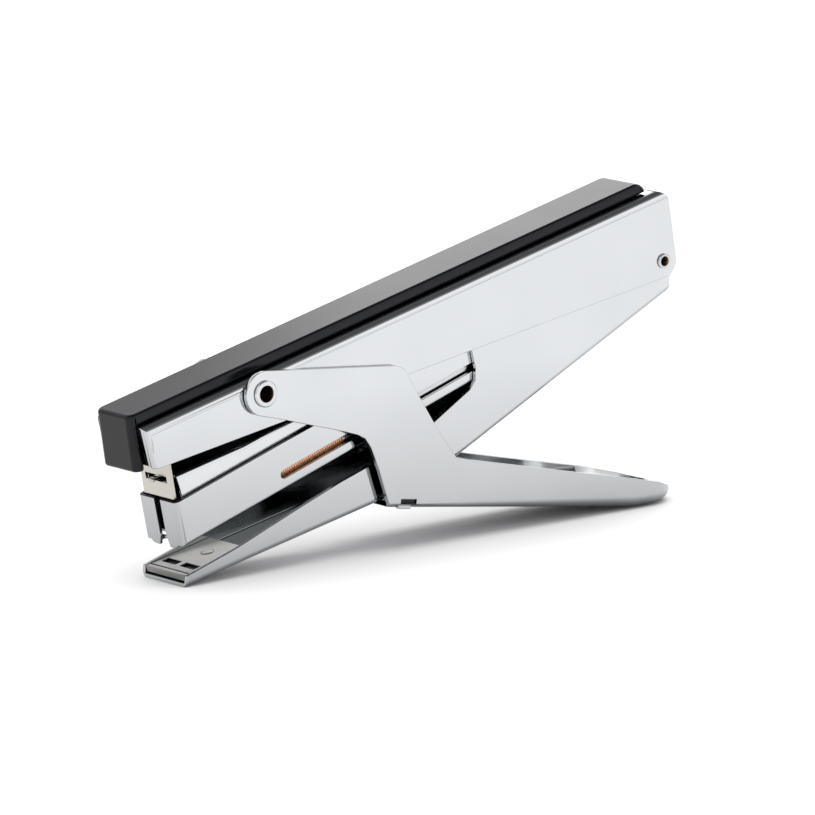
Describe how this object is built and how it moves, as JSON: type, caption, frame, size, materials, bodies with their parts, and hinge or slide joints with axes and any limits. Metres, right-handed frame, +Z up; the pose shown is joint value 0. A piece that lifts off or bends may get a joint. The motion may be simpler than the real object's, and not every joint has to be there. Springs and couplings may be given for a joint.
{
  "type": "plier stapler",
  "caption": "Hand-held plier stapler: chromed sheet-steel handles, hinged jaw arm with anvil plate, sprung staple magazine, driver blade and a black plastic grip cap.",
  "frame": {"origin": "on the ground under the middle of the bounding box, with the tool standing on the jaw arm's nose and the lower handle's tail", "axes": "+X rearward along the tool, +Y across it (the right-hand side seen from the rear is -Y), +Z up"},
  "size_m": [0.1794, 0.0266, 0.0868],
  "materials": {
    "chrome": "polished nickel-chrome plate",
    "bright_steel": "bright drawn steel",
    "steel": "plain zinc-grey steel",
    "nickel": "warm nickel plate",
    "black_plastic": "satin black",
    "copper": "copper-plated spring wire"
  },
  "bodies": {
    "upper": {"upper_handle": "chrome", "grip_cap": "black_plastic", "front_rivet": "steel", "fulcrum_sleeve": "steel", "rear_rivet_left": "steel", "rear_rivet_right": "steel", "lift_spring": "steel"},
    "lower": {"lower_handle": "chrome", "pressure_bar": "steel"},
    "jaw": {"jaw_arm": "chrome", "anvil_plate": "nickel", "anvil_rivet": "steel", "jaw_spring": "steel"},
    "magazine": {"magazine_housing": "chrome", "magazine_cover": "bright_steel", "cover_pin_front": "steel", "cover_pin_rear": "steel", "staple_rail": "steel"},
    "driver": {"driver_blade": "nickel"},
    "loader": {"loader_plug": "steel", "guide_rod_left": "steel", "guide_rod_right": "steel", "guide_tube_left": "bright_steel", "guide_tube_right": "bright_steel"},
    "follower": {"staple_follower": "steel", "pusher_spring_left": "copper", "pusher_spring_right": "copper"}
  },
  "joints": [
    {"name": "squeeze", "type": "hinge", "parent": "upper", "child": "lower", "pos_m": [-0.04999, 0, 0.04791], "axis": [0, -1, 0], "range_deg": [0, 14.6], "stiffness_Nm_per_rad": 1.2, "springref_deg": -14.32},
    {"name": "jaw_close", "type": "hinge", "parent": "upper", "child": "jaw", "pos_m": [0.08436, 0, 0.0659], "axis": [0, 1, 0], "range_deg": [0, 6.33], "deforming": ["jaw_spring"]},
    {"name": "magazine_rise", "type": "hinge", "parent": "upper", "child": "magazine", "pos_m": [0.08436, 0, 0.0659], "axis": [0, 1, 0], "range_deg": [0, 4.28], "deforming": ["lift_spring"]},
    {"name": "driver_swing", "type": "hinge", "parent": "upper", "child": "driver", "pos_m": [-0.07545, 0, 0.02773], "axis": [0, -1, 0], "range_deg": [0, 4.55]},
    {"name": "loader_pull", "type": "slide", "parent": "magazine", "child": "loader", "axis": [0.9516, 0, 0.3074], "range_m": [0, 0.09]},
    {"name": "follower_slide", "type": "slide", "parent": "loader", "child": "follower", "axis": [0.9516, 0, 0.3074], "range_m": [0, 0.04], "stiffness_N_per_m": 100, "springref_m": -0.03, "deforming": ["pusher_spring_left", "pusher_spring_right"]}
  ],
  "couplings": [
    {"joint": "jaw_close", "follows": "squeeze", "ratio": 0.432},
    {"joint": "magazine_rise", "follows": "squeeze", "ratio": 0.292},
    {"joint": "driver_swing", "follows": "squeeze", "ratio": 0.31}
  ]
}
